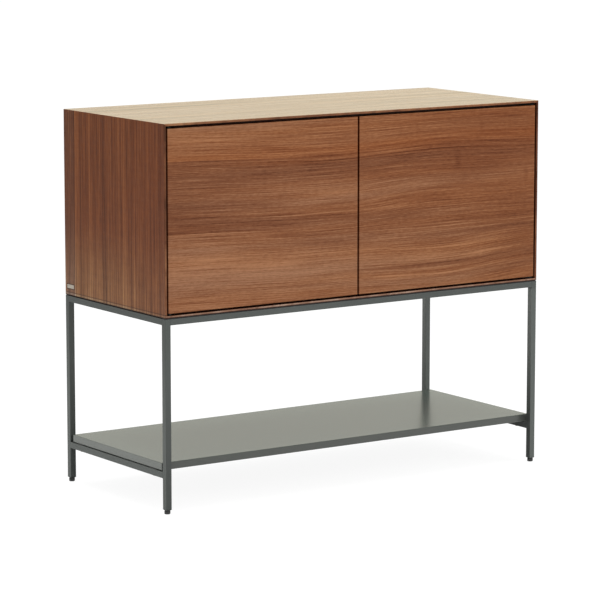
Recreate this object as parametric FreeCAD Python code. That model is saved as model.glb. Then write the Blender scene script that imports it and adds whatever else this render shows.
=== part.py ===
import FreeCAD, Part
import os
from FreeCAD import Vector

# A two-door sideboard: a veneered case with mitred corners stands on a square
# steel tube frame that has a lacquered shelf low between its legs.
# Origin: middle of the floor outline. +X is to the right, +Z is up, the doors face -Y.

# Overall size
overall_width = 1070.0
overall_depth = 450.0
overall_height = 895.0

# Steel frame
tube_size = 15.0
tube_wall = 1.5
tube_round = 1.0
leg_cap = 2.0
rail_underside = 436.7
lower_rail_underside = 82.3
spacer_thickness = 1.5
spacer_inset = 1.5
tab_width = 34.0
tab_reach = 26.0
tab_thickness = 3.0
tab_end_inset = 95.0
tabs_per_rail = 3

# Lower shelf
shelf_thickness = 17.4
shelf_edge_ease = 0.8
shelf_set_back = 23.5
shelf_side_inset = 3.0
shelf_pad_length = 30.0

# Case boards
board = 19.0
lip = 5.2
front_rebate = 21.3
back_board = 8.0
back_rebate_width = 10.0
back_recess = 0.5
arris = 0.4
divider = 19.0

# Doors
door_thickness = 19.0
door_side_gap = 4.6
door_top_gap = 6.1
door_bottom_gap = 5.1
door_centre_gap = 4.8
door_arris = 0.8

# Corner pivot hinges
pivot_from_edge = 6.0
pivot_from_front = 6.5
pivot_pin_radius = 2.5
pivot_pin_depth = 12.0
pivot_clearance = 0.05
pivot_seat_gap = 0.3
pivot_collar_radius = 4.5
pivot_collar_height = 1.0
leaf_thickness = 2.5
leaf_eye_radius = 5.0
leaf_tail_start = 14.0
leaf_tail_width = 24.0
leaf_tail_depth = 27.0
leaf_screw_inset = 8.0
door_plate_length = 45.0
door_plate_width = 11.0
door_plate_margin = 1.0
door_plate_first_screw = 19.0
door_plate_last_screw = 38.0

# Push latches
latch_from_centre = 45.0
latch_width = 16.0
latch_height = 13.0
latch_length = 52.0
latch_round = 3.0
latch_front_gap = 7.5
latch_ear_width = 9.0
latch_ear_length = 16.0
latch_ear_thickness = 3.0
latch_ear_start = 18.0
plunger_radius = 3.5
plunger_length = 40.0
plunger_tip_radius = 5.0
plunger_tip_length = 3.0
plunger_tip_chamfer = 0.8
plunger_travel = 3.0
plunger_clearance = 0.06
plunger_seat_gap = 0.3
strike_radius = 7.0
strike_thickness = 1.5

# Shelves inside the case
inner_shelf_thickness = 18.0
inner_shelf_end_gap = 1.0
inner_shelf_front_gap = 20.0
inner_shelf_back_gap = 1.0
inner_shelf_lift = 190.0
pin_radius = 2.5
pin_depth = 8.0
pin_reach = 8.0
pin_head_radius = 3.5
pin_row_inset = 37.0
pin_pitch = 32.0
pin_holes_each_way = 1
hole_spare_depth = 2.0

# Feet and leg ends
foot_radius = 7.0
foot_height = 8.0
foot_chamfer = 1.2
foot_stem_radius = 3.0
foot_stem_length = 24.0
foot_clearance = 0.05
foot_seat_gap = 0.3
plug_flange = 3.5
plug_body = 22.0
plug_chamfer = 2.3

# Fasteners
screw_head_radius = 3.6
screw_shank_radius = 1.8
screw_head_depth = 2.2
leaf_screw_length = 15.0
door_plate_screw_length = 16.0
back_screw_length = 22.0
back_screws_across = 4
back_screw_inset = 5.0
back_screw_end_inset = 60.0
latch_screw_length = 13.0
bolt_head_radius = 4.5
bolt_head_height = 2.0
bolt_shank_radius = 2.2
bolt_grip = 12.0
shelf_bolt_inset = 45.0

# Cuts run past the solid they cut by this much
overrun = 5.0

# Derived places of the case
half_width = overall_width / 2
half_depth = overall_depth / 2
front = -half_depth
back = half_depth
rail_top = rail_underside + tube_size
case_bottom = rail_top + spacer_thickness
case_top = overall_height
inner_floor = case_bottom + board
inner_ceiling = case_top - board
inner_side = half_width - board
shoulder = front + front_rebate
back_board_front = back - back_recess - back_board

# Derived places of the doors
door_outer = half_width - lip - door_side_gap
door_inner = door_centre_gap / 2
door_top = case_top - lip - door_top_gap
door_bottom = case_bottom + lip + door_bottom_gap
door_back = front + door_thickness
pivot_x = door_outer - pivot_from_edge
pivot_y = front + pivot_from_front

# Derived places of the frame
leg_bottom = foot_height + foot_seat_gap + plug_flange
leg_centre_x = half_width - tube_size / 2
leg_centre_y = half_depth - tube_size / 2
lower_rail_top = lower_rail_underside + tube_size
shelf_underside = lower_rail_top + spacer_thickness
shelf_top = shelf_underside + shelf_thickness
rail_inner_y = half_depth - tube_size
tab_span = 2 * (half_width - tab_end_inset)
tab_places = [tab_span * (step / (tabs_per_rail - 1) - 0.5) for step in range(tabs_per_rail)]

# Derived places of the shelves inside the case
inner_shelf_bottom = inner_floor + inner_shelf_lift
inner_shelf_front = shoulder + inner_shelf_front_gap
inner_shelf_back = back_board_front - inner_shelf_back_gap
pin_rows = [inner_shelf_front + pin_row_inset, inner_shelf_back - pin_row_inset]
pin_level = inner_shelf_bottom - pin_radius

RIGHT = 1
LEFT = -1
UP = 1
DOWN = -1
sides = {"left": LEFT, "right": RIGHT}


def block(x_a, x_b, y_a, y_b, z_a, z_b):
    """A box between two corners, given in any order."""
    corner = Vector(min(x_a, x_b), min(y_a, y_b), min(z_a, z_b))
    return Part.makeBox(abs(x_b - x_a), abs(y_b - y_a), abs(z_b - z_a), corner)


def eased_block(ease, *corners):
    """A box with all its edges eased by a small chamfer."""
    solid = block(*corners)
    return solid.makeChamfer(ease, solid.Edges)


def plate(outline, z_a, z_b):
    """A flat plate from outline points in plan, between two levels."""
    low = min(z_a, z_b)
    points = [Vector(x, y, low) for x, y in outline]
    face = Part.Face(Part.makePolygon(points + points[:1]))
    return face.extrude(Vector(0, 0, abs(z_b - z_a)))


def rod(radius, start, direction, length):
    """A round rod from a point along a direction."""
    return Part.makeCylinder(radius, length, start, direction)


def countersunk_screw(point, direction, length):
    """A countersunk screw whose head is flush at the point."""
    neck = point + direction * screw_head_depth
    head = Part.makeCone(screw_head_radius, screw_shank_radius, screw_head_depth, point, direction)
    shank = rod(screw_shank_radius, neck, direction, length - screw_head_depth)
    return head.fuse(shank).removeSplitter()


def pan_bolt(seat, direction, length):
    """A flat-headed bolt whose head bears on the seat and whose shank runs past it."""
    head = rod(bolt_head_radius, seat - direction * bolt_head_height, direction, bolt_head_height)
    shank = rod(bolt_shank_radius, seat, direction, length)
    return head.fuse(shank).removeSplitter()


def save(name, solid):
    """Write one node, one solid or a group of separate solids."""
    shape = Part.makeCompound(solid) if isinstance(solid, list) else solid
    shape.exportStep("parts/%s.step" % name)


def cut_all(solid, tools):
    """Take every tool away from a solid."""
    for tool in tools:
        solid = solid.cut(tool)
    return solid


def case_ring():
    """The four case boards as one ring: hollow, with a front rebate and a back rebate."""
    ring = eased_block(arris, -half_width, half_width, front, back, case_bottom, case_top)
    hollow = block(-inner_side, inner_side, front - overrun, back + overrun, inner_floor, inner_ceiling)
    lip_side = half_width - lip
    door_space = block(-lip_side, lip_side, front - overrun, shoulder, case_bottom + lip, case_top - lip)
    back_side = half_width - back_rebate_width
    back_low = case_bottom + back_rebate_width
    back_high = case_top - back_rebate_width
    back_space = block(-back_side, back_side, back_board_front, back + overrun, back_low, back_high)
    return cut_all(ring, [hollow, door_space, back_space])


def mitre_wedge(outer_a, outer_b, inner_b, inner_a):
    """The part of the ring that one board fills, cut at 45 degrees at both ends."""
    points = [Vector(x, front - overrun, z) for x, z in (outer_a, outer_b, inner_b, inner_a)]
    face = Part.Face(Part.makePolygon(points + points[:1]))
    return face.extrude(Vector(0, overall_depth + 2 * overrun, 0))


def case_boards():
    """Top, bottom and two side boards, each mitred out of the ring."""
    ring = case_ring()
    outer = {
        "top_left": (-half_width, case_top),
        "top_right": (half_width, case_top),
        "bottom_left": (-half_width, case_bottom),
        "bottom_right": (half_width, case_bottom),
    }
    inner = {
        "top_left": (-inner_side, inner_ceiling),
        "top_right": (inner_side, inner_ceiling),
        "bottom_left": (-inner_side, inner_floor),
        "bottom_right": (inner_side, inner_floor),
    }
    ends = {
        "top_panel": ("top_left", "top_right"),
        "bottom_panel": ("bottom_left", "bottom_right"),
        "left_side_panel": ("bottom_left", "top_left"),
        "right_side_panel": ("bottom_right", "top_right"),
    }
    boards = {}
    for name, (a, b) in ends.items():
        boards[name] = ring.common(mitre_wedge(outer[a], outer[b], inner[b], inner[a]))
    return boards


def back_panel():
    """The thin back board, let into the rebate behind the case."""
    side = half_width - back_rebate_width
    low = case_bottom + back_rebate_width
    high = case_top - back_rebate_width
    return block(-side, side, back_board_front, back_board_front + back_board, low, high)


def back_screws():
    """Countersunk screws along the top and bottom edge of the back board."""
    reach = half_width - back_screw_end_inset
    step = 2 * reach / (back_screws_across - 1)
    edge = back_rebate_width + back_screw_inset
    levels = [case_bottom + edge, case_top - edge]
    screws = []
    for level in levels:
        for place in range(back_screws_across):
            point = Vector(-reach + step * place, back_board_front + back_board, level)
            screws.append(countersunk_screw(point, Vector(0, -1, 0), back_screw_length))
    return screws


def centre_divider():
    """The upright board between the two compartments."""
    return block(-divider / 2, divider / 2, shoulder, back_board_front, inner_floor, inner_ceiling)


def inner_shelf(side):
    """A loose shelf, a little shorter than the space between side board and divider."""
    near = side * (divider / 2 + inner_shelf_end_gap)
    far = side * (inner_side - inner_shelf_end_gap)
    top = inner_shelf_bottom + inner_shelf_thickness
    return block(near, far, inner_shelf_front, inner_shelf_back, inner_shelf_bottom, top)


def shelf_pin(wall_x, y, outward):
    """A shelf pin: a round peg in the wall and a flat-topped rest under the shelf."""
    start = Vector(wall_x - outward * pin_depth, y, pin_level)
    peg = rod(pin_radius, start, Vector(outward, 0, 0), pin_depth)
    rest = rod(pin_head_radius, Vector(wall_x, y, pin_level), Vector(outward, 0, 0), pin_reach)
    above = block(
        wall_x - outward * overrun, wall_x + outward * (pin_reach + overrun),
        y - pin_head_radius - overrun, y + pin_head_radius + overrun,
        inner_shelf_bottom, inner_shelf_bottom + pin_head_radius + overrun,
    )
    return peg.fuse(rest.cut(above)).removeSplitter()


def shelf_walls():
    """Each wall that carries shelf pins: its face, and the way the pins stand out of it."""
    return [
        (-inner_side, RIGHT),
        (-divider / 2, LEFT),
        (divider / 2, RIGHT),
        (inner_side, LEFT),
    ]


def shelf_pins():
    """Four pins under each shelf."""
    return [shelf_pin(wall, y, outward) for wall, outward in shelf_walls() for y in pin_rows]


def pin_holes(wall_x, outward):
    """Rows of blind holes, so that the shelf can be set higher or lower."""
    holes = []
    for y in pin_rows:
        for step in range(-pin_holes_each_way, pin_holes_each_way + 1):
            start = Vector(wall_x, y, pin_level + step * pin_pitch)
            depth = pin_depth if step == 0 else pin_depth - hole_spare_depth
            holes.append(rod(pin_radius, start, Vector(-outward, 0, 0), depth))
    return holes


def hinge_leaf(side, edge_z, way):
    """The case leaf of a pivot hinge, with its eye over the door's corner and its tail in the case."""
    near = edge_z + way * (pivot_seat_gap + pivot_collar_height)
    far = near + way * leaf_thickness
    tail_a = side * (door_outer - leaf_tail_start)
    tail_b = side * (door_outer - leaf_tail_start - leaf_tail_width)
    tail_back = shoulder + leaf_tail_depth
    eye_front = pivot_y - leaf_eye_radius
    outline = [
        (side * pivot_x, eye_front),
        (tail_b, shoulder),
        (tail_b, tail_back),
        (tail_a, tail_back),
        (tail_a, shoulder),
        (side * (pivot_x + leaf_eye_radius), pivot_y),
    ]
    start = Vector(side * pivot_x, pivot_y, min(near, far))
    eye = rod(leaf_eye_radius, start, Vector(0, 0, 1), leaf_thickness)
    collar_low = min(near, near - way * pivot_collar_height)
    collar_start = Vector(side * pivot_x, pivot_y, collar_low)
    collar = rod(pivot_collar_radius, collar_start, Vector(0, 0, 1), pivot_collar_height)
    bore = rod(pivot_pin_radius, start - Vector(0, 0, overrun), Vector(0, 0, 1), leaf_thickness + 2 * overrun)
    return plate(outline, near, far).fuse(eye).fuse(collar).removeSplitter().cut(bore)


def leaf_screws(side, way):
    """Two screws that go through the case board and the tail of the leaf."""
    middle = side * (door_outer - leaf_tail_start - leaf_tail_width / 2)
    face = inner_ceiling if way == UP else inner_floor
    depths = [shoulder + leaf_screw_inset, shoulder + leaf_tail_depth - leaf_screw_inset]
    return [countersunk_screw(Vector(middle, y, face), Vector(0, 0, way), leaf_screw_length) for y in depths]


def hinge_pin(side, edge_z, way):
    """The pin that is riveted in the leaf and turns in the door."""
    top = edge_z + way * (pivot_seat_gap + pivot_collar_height + leaf_thickness)
    start = Vector(side * pivot_x, pivot_y, top)
    length = abs(top - edge_z) + pivot_pin_depth
    return rod(pivot_pin_radius, start, Vector(0, 0, -way), length)


def door_plate(side, edge_z, way):
    """The door leaf of a pivot hinge, let in flush with the door's edge, before its bore."""
    outer = door_outer - door_plate_margin
    inner = outer - door_plate_length
    y_a = pivot_y - door_plate_width / 2
    return block(
        side * outer, side * inner,
        y_a, y_a + door_plate_width,
        edge_z, edge_z - way * leaf_thickness,
    )


def door_plate_screws(side, edge_z, way):
    """Two screws that hold the door leaf."""
    places = [door_outer - door_plate_first_screw, door_outer - door_plate_last_screw]
    screws = []
    for place in places:
        point = Vector(side * place, pivot_y, edge_z)
        screws.append(countersunk_screw(point, Vector(0, 0, -way), door_plate_screw_length))
    return screws


def pin_bore(side, edge_z, way):
    """The running bore for a hinge pin, through the door leaf into the door."""
    start = Vector(side * pivot_x, pivot_y, edge_z + way * overrun)
    length = overrun + pivot_pin_depth + hole_spare_depth
    return rod(pivot_pin_radius + pivot_clearance, start, Vector(0, 0, -way), length)


def strike_place(side):
    """The point on the door's back that the latch pushes."""
    level = inner_ceiling - latch_height / 2
    return Vector(side * latch_from_centre, door_back, level)


def strike_plate(side):
    """A steel disc, let in flush with the door's back."""
    return rod(strike_radius, strike_place(side), Vector(0, -1, 0), strike_thickness)


def door(side):
    """A flat door with its hinge plates, bores and strike plate let in."""
    panel = eased_block(
        door_arris,
        side * door_inner, side * door_outer,
        front, door_back,
        door_bottom, door_top,
    )
    tools = [strike_plate(side)]
    for edge_z, way in ((door_top, UP), (door_bottom, DOWN)):
        tools.append(door_plate(side, edge_z, way))
        tools.append(pin_bore(side, edge_z, way))
        tools.extend(door_plate_screws(side, edge_z, way))
    return cut_all(panel, tools)


def latch_start(side):
    """The middle of the latch housing's front face."""
    centre = strike_place(side)
    return Vector(centre.x, door_back + latch_front_gap, centre.z)


def latch_screws(side):
    """Two screws through the ears of a latch."""
    start = latch_start(side)
    middle = start.y + latch_ear_start + latch_ear_length / 2
    seat = inner_ceiling - latch_ear_thickness
    offset = (latch_width + latch_ear_width) / 2
    return [
        countersunk_screw(Vector(start.x + way * offset, middle, seat), Vector(0, 0, 1), latch_screw_length)
        for way in (LEFT, RIGHT)
    ]


def latch_housing(side):
    """The housing of a push latch: a rounded body with two ears and a blind bore."""
    start = latch_start(side)
    body = block(
        start.x - latch_width / 2, start.x + latch_width / 2,
        start.y, start.y + latch_length,
        inner_ceiling - latch_height, inner_ceiling,
    )
    lower = [edge for edge in body.Edges if edge.BoundBox.ZMax < inner_ceiling - latch_height / 2]
    body = body.makeFillet(latch_round, [edge for edge in lower if edge.BoundBox.YLength > latch_width])
    reach = latch_width / 2 + latch_ear_width
    ear = block(
        start.x - reach, start.x + reach,
        start.y + latch_ear_start, start.y + latch_ear_start + latch_ear_length,
        inner_ceiling - latch_ear_thickness, inner_ceiling,
    )
    inside = plunger_length - (start.y - plunger_front())
    depth = overrun + inside + plunger_travel + hole_spare_depth
    bore_start = start - Vector(0, overrun, 0)
    bore = rod(plunger_radius + plunger_clearance, bore_start, Vector(0, 1, 0), depth)
    return cut_all(body.fuse(ear).removeSplitter(), [bore] + latch_screws(side))


def plunger_front():
    """Where the plunger's tip stands when it is out, just clear of the closed door."""
    return door_back + plunger_seat_gap


def latch_plunger(side):
    """The spring-loaded plunger with its wide tip."""
    centre = latch_start(side)
    start = Vector(centre.x, plunger_front(), centre.z)
    tip = rod(plunger_tip_radius, start, Vector(0, 1, 0), plunger_tip_length)
    rim = [edge for edge in tip.Edges if edge.BoundBox.YMax < start.y + plunger_tip_length / 2]
    tip = tip.makeChamfer(plunger_tip_chamfer, rim)
    return tip.fuse(rod(plunger_radius, start + Vector(0, plunger_tip_length / 2, 0),
                        Vector(0, 1, 0), plunger_length - plunger_tip_length / 2)).removeSplitter()


def tube(x_a, x_b, y_a, y_b, z_a, z_b, along):
    """A square tube between two corners, with rounded outer edges, open at both ends."""
    outer = block(x_a, x_b, y_a, y_b, z_a, z_b)
    lengths = {"x": "XLength", "y": "YLength", "z": "ZLength"}
    full = getattr(outer.BoundBox, lengths[along])
    edges = [edge for edge in outer.Edges if getattr(edge.BoundBox, lengths[along]) > full / 2]
    outer = outer.makeFillet(tube_round, edges)
    shrink = {axis: -overrun if axis == along else tube_wall for axis in "xyz"}
    inside = block(
        min(x_a, x_b) + shrink["x"], max(x_a, x_b) - shrink["x"],
        min(y_a, y_b) + shrink["y"], max(y_a, y_b) - shrink["y"],
        min(z_a, z_b) + shrink["z"], max(z_a, z_b) - shrink["z"],
    )
    return outer.cut(inside)


def leg(side, y_side):
    """An upright of the frame, open below for its plug and closed above."""
    x_a = side * half_width
    x_b = side * (half_width - tube_size)
    y_a = y_side * half_depth
    y_b = y_side * (half_depth - tube_size)
    upright = tube(x_a, x_b, y_a, y_b, leg_bottom, rail_top, "z")
    cap = block(
        x_a - side * tube_wall, x_b + side * tube_wall,
        y_a - y_side * tube_wall, y_b + y_side * tube_wall,
        rail_top - leg_cap, rail_top,
    )
    return upright.fuse(cap).removeSplitter()


def long_rail(y_side):
    """The upper rail along the front or the back, between two legs."""
    reach = half_width - tube_size
    y_a = y_side * half_depth
    return tube(-reach, reach, y_a, y_a - y_side * tube_size, rail_underside, rail_top, "x")


def side_rail(side, underside):
    """A rail from front to back between two legs."""
    reach = half_depth - tube_size
    x_a = side * half_width
    return tube(x_a, x_a - side * tube_size, -reach, reach, underside, underside + tube_size, "y")


def frame_tabs():
    """Flat tabs, welded inside the long rails, that the case is bolted to."""
    tabs = []
    for y_side in (LEFT, RIGHT):
        for place in tab_places:
            tabs.append(block(
                place - tab_width / 2, place + tab_width / 2,
                y_side * rail_inner_y, y_side * (rail_inner_y - tab_reach),
                rail_top - tab_thickness, rail_top,
            ))
    return tabs


def spacer_strips():
    """A thin strip on each long rail, widened over the tabs, which leaves the dark line under the case."""
    reach = half_width - spacer_inset
    half = tab_width / 2 - spacer_inset
    strips = []
    for y_side in (LEFT, RIGHT):
        outer_y = y_side * (half_depth - spacer_inset)
        inner_y = y_side * (rail_inner_y + spacer_inset)
        tab_end = y_side * (rail_inner_y - tab_reach + spacer_inset)
        strip = block(-reach, reach, outer_y, inner_y, rail_top, case_bottom)
        for place in tab_places:
            strip = strip.fuse(block(place - half, place + half, outer_y, tab_end, rail_top, case_bottom))
        strips.append(strip.removeSplitter())
    return strips


def case_bolts():
    """Bolts from below through the tabs and the strips into the bottom board."""
    length = tab_thickness + spacer_thickness + bolt_grip
    bolts = []
    for y_side in (LEFT, RIGHT):
        for place in tab_places:
            seat = Vector(place, y_side * (rail_inner_y - tab_reach / 2), rail_top - tab_thickness)
            bolts.append(pan_bolt(seat, Vector(0, 0, 1), length))
    return bolts


def shelf_bolt_places():
    """Where the shelf is bolted to the lower side rails, in plan."""
    reach = half_depth - tube_size - shelf_bolt_inset
    return [(side * leg_centre_x, y) for side in (LEFT, RIGHT) for y in (-reach, reach)]


def shelf_bolts():
    """Bolts from below through the lower side rails and the pads into the shelf."""
    length = tube_size + spacer_thickness + bolt_grip
    seats = [Vector(x, y, lower_rail_underside) for x, y in shelf_bolt_places()]
    return [pan_bolt(seat, Vector(0, 0, 1), length) for seat in seats]


def shelf_pads():
    """Thin pads round the bolts, which leave the dark line under the shelf."""
    wide = tube_size / 2 - spacer_inset
    long = shelf_pad_length / 2
    return [
        block(x - wide, x + wide, y - long, y + long, lower_rail_top, shelf_underside)
        for x, y in shelf_bolt_places()
    ]


def lower_shelf():
    """The lacquered shelf that lies over the lower side rails, on its pads."""
    reach_x = half_width - shelf_side_inset
    reach_y = half_depth - shelf_set_back
    return eased_block(
        shelf_edge_ease,
        -reach_x, reach_x, -reach_y, reach_y, shelf_underside, shelf_top,
    )


def leg_plug(side, y_side):
    """A plug in the end of a leg, with the threaded bore for its foot."""
    x = side * leg_centre_x
    y = y_side * leg_centre_y
    half = tube_size / 2
    flange = block(x - half, x + half, y - half, y + half, leg_bottom - plug_flange, leg_bottom)
    low = [edge for edge in flange.Edges if edge.BoundBox.ZMax < leg_bottom - plug_flange / 2]
    flange = flange.makeChamfer(plug_chamfer, low)
    inner = half - tube_wall
    core = block(x - inner, x + inner, y - inner, y + inner, leg_bottom, leg_bottom + plug_body)
    start = Vector(x, y, leg_bottom - plug_flange - overrun)
    length = plug_flange + plug_body + 2 * overrun
    bore = rod(foot_stem_radius + foot_clearance, start, Vector(0, 0, 1), length)
    return flange.fuse(core).removeSplitter().cut(bore)


def foot(side, y_side):
    """A levelling foot: a round pad on a stem that screws into the plug."""
    base = Vector(side * leg_centre_x, y_side * leg_centre_y, 0)
    pad = rod(foot_radius, base, Vector(0, 0, 1), foot_height)
    rim = [edge for edge in pad.Edges if edge.BoundBox.ZLength < foot_height / 2]
    pad = pad.makeChamfer(foot_chamfer, rim)
    stem_start = base + Vector(0, 0, foot_height / 2)
    stem = rod(foot_stem_radius, stem_start, Vector(0, 0, 1), foot_height / 2 + foot_stem_length)
    return pad.fuse(stem).removeSplitter()


def build_case():
    """The case boards, their screws and what lies inside."""
    boards = case_boards()
    leaf_tools = {"top_panel": [], "bottom_panel": []}
    for side in sides.values():
        for board_name, edge_z, way in (("top_panel", door_top, UP), ("bottom_panel", door_bottom, DOWN)):
            leaf_tools[board_name].append(hinge_leaf(side, edge_z, way))
            leaf_tools[board_name].extend(leaf_screws(side, way))
        leaf_tools["top_panel"].extend(latch_screws(side))
    leaf_tools["bottom_panel"].extend(case_bolts())
    screws = back_screws()
    walls = shelf_walls()
    tools = {
        "top_panel": leaf_tools["top_panel"] + screws,
        "bottom_panel": leaf_tools["bottom_panel"] + screws,
        "left_side_panel": pin_holes(*walls[0]),
        "right_side_panel": pin_holes(*walls[-1]),
    }
    for name, solid in boards.items():
        save(name, cut_all(solid, tools[name]))
    save("centre_divider", cut_all(centre_divider(), pin_holes(*walls[1]) + pin_holes(*walls[2])))
    save("back_panel", cut_all(back_panel(), screws))
    save("back_panel_screws", screws)
    save("shelf_pins", shelf_pins())
    for name, side in sides.items():
        save("%s_inner_shelf" % name, inner_shelf(side))


def build_doors():
    """Each door with its two pivot hinges and its push latch."""
    case_screws = []
    latch_fixings = []
    for name, side in sides.items():
        save("%s_door" % name, door(side))
        save("%s_strike_plate" % name, strike_plate(side))
        save("%s_latch_housing" % name, latch_housing(side))
        save("%s_latch_plunger" % name, latch_plunger(side))
        latch_fixings.extend(latch_screws(side))
        plate_screws = []
        for level, edge_z, way in (("upper", door_top, UP), ("lower", door_bottom, DOWN)):
            label = "%s_%s" % (name, level)
            screws = leaf_screws(side, way)
            door_screws = door_plate_screws(side, edge_z, way)
            leaf = cut_all(hinge_leaf(side, edge_z, way), screws)
            save("%s_hinge_leaf" % label, leaf)
            save("%s_hinge_pin" % label, hinge_pin(side, edge_z, way))
            plate_tools = door_screws + [pin_bore(side, edge_z, way)]
            save("%s_door_plate" % label, cut_all(door_plate(side, edge_z, way), plate_tools))
            case_screws.extend(screws)
            plate_screws.extend(door_screws)
        save("%s_door_plate_screws" % name, plate_screws)
    save("hinge_leaf_screws", case_screws)
    save("latch_screws", latch_fixings)


def build_frame():
    """The steel frame, its shelf, plugs and feet."""
    bolts = case_bolts()
    lower_bolts = shelf_bolts()
    plugs = []
    for y_name, y_side in (("front", LEFT), ("back", RIGHT)):
        save("%s_upper_rail" % y_name, long_rail(y_side))
        for name, side in sides.items():
            save("%s_%s_leg" % (y_name, name), leg(side, y_side))
            save("%s_%s_foot" % (y_name, name), foot(side, y_side))
            plugs.append(leg_plug(side, y_side))
    for name, side in sides.items():
        save("%s_upper_rail" % name, side_rail(side, rail_underside))
        save("%s_lower_rail" % name, cut_all(side_rail(side, lower_rail_underside), lower_bolts))
    save("lower_shelf", cut_all(lower_shelf(), lower_bolts))
    save("leg_plugs", plugs)
    save("frame_tabs", [cut_all(tab, bolts) for tab in frame_tabs()])
    save("spacer_strips", [cut_all(strip, bolts) for strip in spacer_strips()])
    save("shelf_pads", [cut_all(pad, lower_bolts) for pad in shelf_pads()])
    save("case_bolts", bolts)
    save("shelf_bolts", lower_bolts)


os.makedirs("parts", exist_ok=True)
build_case()
build_doors()
build_frame()
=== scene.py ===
"""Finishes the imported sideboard: walnut veneer, coated steel, turned screws and a plain studio."""
import math
from functools import reduce

import bpy
from mathutils import Matrix, Vector


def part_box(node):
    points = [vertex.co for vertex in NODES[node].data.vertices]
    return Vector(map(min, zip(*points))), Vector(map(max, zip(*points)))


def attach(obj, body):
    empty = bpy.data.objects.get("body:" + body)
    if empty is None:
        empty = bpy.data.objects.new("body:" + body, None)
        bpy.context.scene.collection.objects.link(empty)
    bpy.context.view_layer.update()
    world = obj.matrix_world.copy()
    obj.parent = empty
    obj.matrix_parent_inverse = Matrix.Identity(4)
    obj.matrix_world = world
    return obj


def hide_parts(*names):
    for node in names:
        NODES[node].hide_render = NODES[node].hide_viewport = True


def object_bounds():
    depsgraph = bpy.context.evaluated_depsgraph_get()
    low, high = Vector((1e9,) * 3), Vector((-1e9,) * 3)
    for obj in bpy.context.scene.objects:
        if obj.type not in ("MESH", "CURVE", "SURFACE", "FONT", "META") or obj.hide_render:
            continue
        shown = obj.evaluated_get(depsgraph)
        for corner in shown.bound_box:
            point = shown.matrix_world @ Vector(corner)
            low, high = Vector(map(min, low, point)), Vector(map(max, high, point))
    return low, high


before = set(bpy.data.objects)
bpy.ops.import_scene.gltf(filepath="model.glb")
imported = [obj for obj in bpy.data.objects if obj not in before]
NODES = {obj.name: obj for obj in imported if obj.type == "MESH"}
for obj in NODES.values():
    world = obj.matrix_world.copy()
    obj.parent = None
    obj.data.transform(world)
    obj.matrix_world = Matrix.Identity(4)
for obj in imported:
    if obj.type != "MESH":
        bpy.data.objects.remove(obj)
cad_low, cad_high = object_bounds()

bl_info = {
    "name": "Sideboard finishes",
    "version": (1, 0, 0),
    "blender": (4, 5, 0),
    "location": "3D View > Sidebar > Sideboard",
    "description": "Veneer, coated steel, fasteners and a plain studio for a two-door sideboard",
    "category": "Object",
}

CASE_WIDTH = cad_high.x - cad_low.x
CASE_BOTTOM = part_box("left_side_panel")[0].z
CASE_TOP = cad_high.z
LEFT, FRONT, BACK = cad_low.x, cad_low.y, cad_high.y
ALONG_X, ALONG_Y, ALONG_Z = 0, 1, 2
SIDES = ("left", "right")
ENDS = ("front", "back")
WHITE = (1.0, 1.0, 1.0)


class VeneerSettings(bpy.types.PropertyGroup):
    """Colours and grain of the walnut veneer."""

    dark_tone: bpy.props.FloatVectorProperty(
        name="Dark tone", description="Colour of the darkest streaks", subtype="COLOR",
        size=3, min=0.0, max=1.0, default=(0.140, 0.043, 0.016),
    )
    middle_tone: bpy.props.FloatVectorProperty(
        name="Middle tone", description="Colour of most of the veneer", subtype="COLOR",
        size=3, min=0.0, max=1.0, default=(0.216, 0.079, 0.031),
    )
    light_tone: bpy.props.FloatVectorProperty(
        name="Light tone", description="Colour of the lightest streaks", subtype="COLOR",
        size=3, min=0.0, max=1.0, default=(0.310, 0.138, 0.062),
    )
    # The top tint lightens the top face, partly as a paler veneer and partly as painted light from above.
    top_tint: bpy.props.FloatVectorProperty(
        name="Top tint", description="Colour that lightens the top board's veneer", subtype="COLOR",
        size=3, min=0.0, max=2.0, default=(1.03, 1.16, 1.25),
    )
    top_haze: bpy.props.FloatVectorProperty(
        name="Top haze", description="Colour of the pale haze over the top board, seen at a low angle",
        subtype="COLOR", size=3, min=0.0, max=1.0, default=(0.82, 1.00, 0.70),
    )
    roughness: bpy.props.FloatProperty(
        name="Roughness", description="Roughness of the satin lacquer", subtype="FACTOR",
        min=0.0, max=1.0, default=0.36,
    )
    pore_depth: bpy.props.FloatProperty(
        name="Pore depth", description="Depth of the open pores under the lacquer", unit="LENGTH",
        min=0.0, max=0.001, default=0.00006,
    )


class SteelSettings(bpy.types.PropertyGroup):
    """Colours of the coated frame and the lacquered shelf."""

    frame_tone: bpy.props.FloatVectorProperty(
        name="Frame colour", description="Colour of the powder coat", subtype="COLOR",
        size=3, min=0.0, max=1.0, default=(0.066, 0.074, 0.069),
    )
    shelf_tone: bpy.props.FloatVectorProperty(
        name="Shelf colour", description="Colour of the shelf's lacquer", subtype="COLOR",
        size=3, min=0.0, max=1.0, default=(0.184, 0.197, 0.181),
    )
    frame_roughness: bpy.props.FloatProperty(
        name="Frame roughness", description="Roughness of the powder coat", subtype="FACTOR",
        min=0.0, max=1.0, default=0.46,
    )
    shelf_roughness: bpy.props.FloatProperty(
        name="Shelf roughness", description="Roughness of the shelf's lacquer", subtype="FACTOR",
        min=0.0, max=1.0, default=0.24,
    )


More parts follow.
